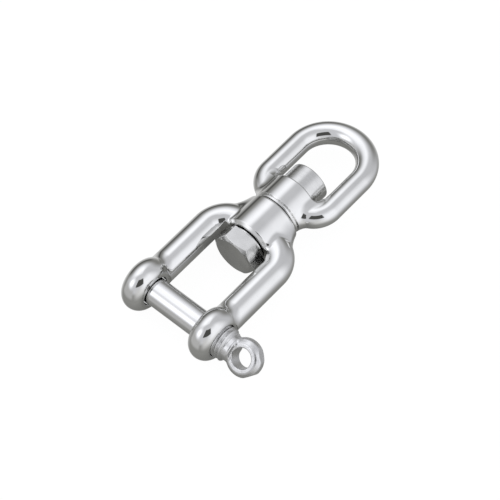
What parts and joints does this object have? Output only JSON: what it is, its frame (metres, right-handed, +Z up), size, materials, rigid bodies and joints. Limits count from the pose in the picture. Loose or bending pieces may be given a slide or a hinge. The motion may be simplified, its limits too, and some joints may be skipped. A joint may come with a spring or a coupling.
{
  "type": "anchor swivel",
  "caption": "Stainless anchor swivel: a fork with a screw pin and an oval eye that turn freely on a hex-headed swivel bolt with a round nut.",
  "frame": {"origin": "bottom centre of the whole box, on the surface that the swivel lies on", "axes": "+X along the clevis pin towards its eye head, +Y along the swivel axis from the jaw to the eye, +Z up out of the plane of the jaw's two arms"},
  "size_m": [0.057, 0.1056, 0.02],
  "materials": {
    "polished_casting": "mirror-polished stainless casting",
    "turned_steel": "turned and tumbled stainless steel, satin",
    "ground_steel": "ground and buffed round bar",
    "cast_steel": "cast stainless steel, tumbled, unpolished"
  },
  "bodies": {
    "jaw": {"jaw": "polished_casting"},
    "eye": {"eye": "polished_casting"},
    "swivel_bolt": {"swivel_bolt": "turned_steel", "round_nut": "turned_steel"},
    "pin_shank": {"pin_shank": "ground_steel"},
    "pin_head": {"pin_head": "cast_steel"}
  },
  "joints": [
    {"name": "eye_swivel", "type": "hinge", "parent": "jaw", "child": "eye", "pos_m": [-0.00808, 0.00637, 0.01], "axis": [0, 1, 0], "continuous": true},
    {"name": "bolt_swivel", "type": "hinge", "parent": "jaw", "child": "swivel_bolt", "pos_m": [-0.00808, 0.00637, 0.01], "axis": [0, 1, 0], "continuous": true},
    {"name": "pin_slide", "type": "slide", "parent": "jaw", "child": "pin_shank", "axis": [1, 0, 0], "range_m": [-0.003, 0.03075]},
    {"name": "pin_turn", "type": "hinge", "parent": "pin_shank", "child": "pin_head", "pos_m": [0.02162, -0.04283, 0.01], "axis": [1, 0, 0], "range_deg": [-720, 7380]}
  ],
  "couplings": [
    {"joint": "pin_slide", "follows": "pin_turn", "m_per_rad": 0.00023873}
  ]
}
